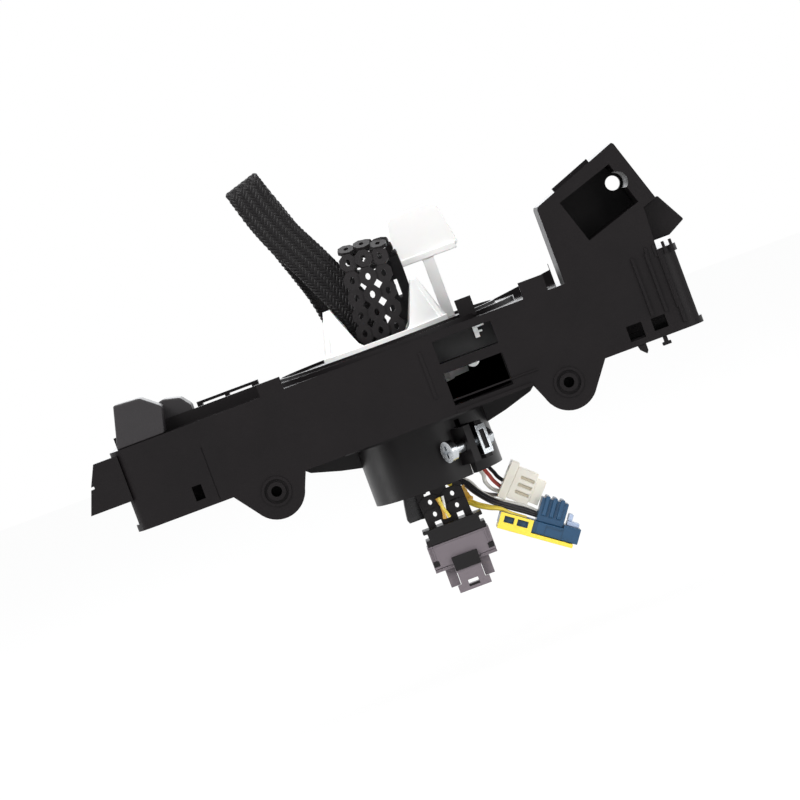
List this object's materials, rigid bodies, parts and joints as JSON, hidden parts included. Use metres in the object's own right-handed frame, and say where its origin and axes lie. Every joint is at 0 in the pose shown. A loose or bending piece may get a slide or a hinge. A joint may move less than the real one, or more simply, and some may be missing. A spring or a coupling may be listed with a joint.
{
  "type": "airbag clock spring",
  "caption": "Airbag clock spring in a column switch carrier: turning hub with a wound ribbon cable, stalk bays, clamp collar and a wheel harness with plugs.",
  "frame": {"origin": "column axis at the lower rim of the clamp collar", "axes": "+Z along the column axis towards the steering wheel, +X to the right of the pictured side, which faces -Y"},
  "size_m": [0.2181, 0.1058, 0.1591],
  "materials": {
    "black_plastic": "satin moulded glass filled plastic",
    "white_plastic": "smooth white moulded plastic",
    "zinc_steel": "bright zinc plated",
    "contact_brass": "stamped contacts",
    "ribbon_film": "amber film over copper tracks",
    "braided_fibre": "braided monofilament",
    "sleeve_rubber": "matte perforated sleeve",
    "yellow_wire": "smooth insulation",
    "grey_wire": "smooth insulation",
    "grey_plug_plastic": "satin moulded plastic",
    "ivory_plastic": "satin moulded plastic",
    "blue_plastic": "satin moulded plastic",
    "yellow_plastic": "satin moulded plastic"
  },
  "bodies": {
    "carrier": {"switch_carrier": "black_plastic", "column_collar": "black_plastic", "clamp_screw": "zinc_steel", "clip_nut": "zinc_steel", "drum_cover": "black_plastic", "right_tower": "black_plastic", "tower_hook": "black_plastic", "left_hood": "black_plastic", "skirt_clips": "black_plastic", "ribbon_cable": "ribbon_film", "stator_terminal": "white_plastic", "rear_socket": "black_plastic", "contact_pins": "contact_brass"},
    "rotor": {"rotor_hub": "white_plastic", "rotor_disc": "black_plastic", "sleeve_outlets": "black_plastic", "rotor_terminal": "white_plastic", "cancel_ring": "white_plastic", "braided_sleeve": "braided_fibre", "perforated_sleeve": "sleeve_rubber", "sleeve_tail": "sleeve_rubber", "squib_wires": "yellow_wire", "signal_wires": "grey_wire", "switch_plug": "grey_plug_plastic", "switch_plug_cap": "black_plastic", "switch_plug_latch": "grey_plug_plastic", "ivory_plug": "ivory_plastic", "ivory_plug_cover": "ivory_plastic", "squib_plug": "blue_plastic", "squib_barrel": "blue_plastic"},
    "pull_tab": {"transport_lock": "white_plastic"},
    "airbag_plug_lock": {"squib_lock": "yellow_plastic"}
  },
  "joints": [
    {"name": "rotor_spin", "type": "hinge", "parent": "carrier", "child": "rotor", "pos_m": [0, 0, 0.045], "axis": [0, 0, 1], "range_deg": [-900, 900]},
    {"name": "lock_pull", "type": "slide", "parent": "rotor", "child": "pull_tab", "axis": [0, 0, 1], "range_m": [0, 0.03]},
    {"name": "airbag_lock_slide", "type": "slide", "parent": "rotor", "child": "airbag_plug_lock", "axis": [0.809, 0, -0.5878], "range_m": [-0.002, 0]}
  ]
}
